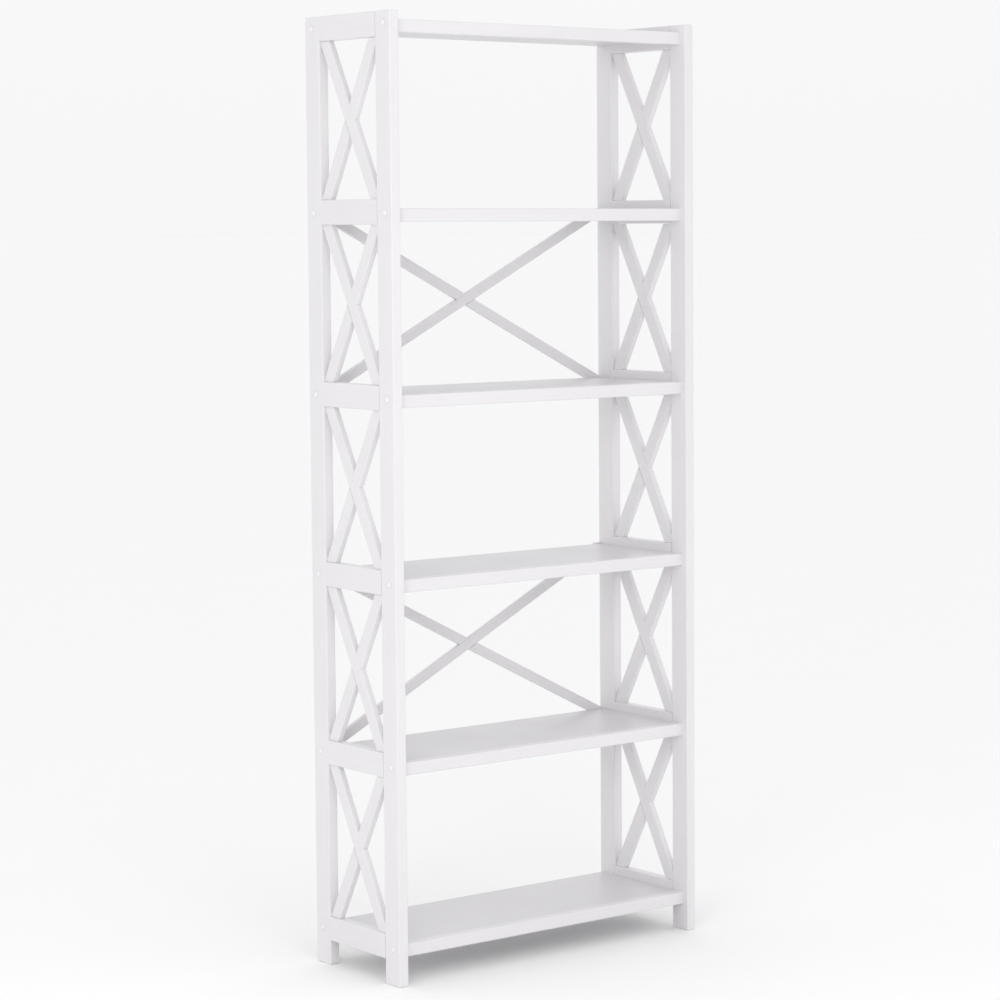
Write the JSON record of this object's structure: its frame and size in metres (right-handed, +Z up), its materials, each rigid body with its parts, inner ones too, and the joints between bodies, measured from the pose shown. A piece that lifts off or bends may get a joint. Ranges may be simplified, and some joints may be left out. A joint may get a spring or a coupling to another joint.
{
  "type": "open bookcase",
  "caption": "Tall open bookcase: ladder-like end frames with crossed slats, fixed shelves screwed between them, and crossed braces behind alternate bays.",
  "frame": {"origin": "on the floor, under the middle of the bookcase", "axes": "+Z up, +X towards the right end frame as seen from the front, +Y towards the back; the front faces -Y"},
  "size_m": [0.712, 0.275, 1.78],
  "materials": {
    "painted_wood": "satin white sprayed paint over solid wood and board, with softened arrises",
    "cap_plastic": "white moulded caps over the screw heads",
    "screw_steel": "zinc-plated screws"
  },
  "bodies": {
    "root": {"left_front_post": "painted_wood", "left_back_post": "painted_wood", "left_rail_1": "painted_wood", "left_rail_2": "painted_wood", "left_rail_3": "painted_wood", "left_rail_4": "painted_wood", "left_rail_5": "painted_wood", "left_rail_6": "painted_wood", "left_bay_1_outer_slat": "painted_wood", "left_bay_1_inner_slat": "painted_wood", "left_bay_2_outer_slat": "painted_wood", "left_bay_2_inner_slat": "painted_wood", "left_bay_3_outer_slat": "painted_wood", "left_bay_3_inner_slat": "painted_wood", "left_bay_4_outer_slat": "painted_wood", "left_bay_4_inner_slat": "painted_wood", "left_bay_5_outer_slat": "painted_wood", "left_bay_5_inner_slat": "painted_wood", "right_front_post": "painted_wood", "right_back_post": "painted_wood", "right_rail_1": "painted_wood", "right_rail_2": "painted_wood", "right_rail_3": "painted_wood", "right_rail_4": "painted_wood", "right_rail_5": "painted_wood", "right_rail_6": "painted_wood", "right_bay_1_outer_slat": "painted_wood", "right_bay_1_inner_slat": "painted_wood", "right_bay_2_outer_slat": "painted_wood", "right_bay_2_inner_slat": "painted_wood", "right_bay_3_outer_slat": "painted_wood", "right_bay_3_inner_slat": "painted_wood", "right_bay_4_outer_slat": "painted_wood", "right_bay_4_inner_slat": "painted_wood", "right_bay_5_outer_slat": "painted_wood", "right_bay_5_inner_slat": "painted_wood", "shelf_1_board": "painted_wood", "shelf_1_nosing": "painted_wood", "shelf_2_board": "painted_wood", "shelf_2_nosing": "painted_wood", "shelf_3_board": "painted_wood", "shelf_3_nosing": "painted_wood", "shelf_4_board": "painted_wood", "shelf_4_nosing": "painted_wood", "shelf_5_board": "painted_wood", "shelf_5_nosing": "painted_wood", "shelf_6_board": "painted_wood", "shelf_6_nosing": "painted_wood", "bay_2_brace_front_slat": "painted_wood", "bay_2_brace_rear_slat": "painted_wood", "bay_4_brace_front_slat": "painted_wood", "bay_4_brace_rear_slat": "painted_wood"}
  },
  "joints": []
}
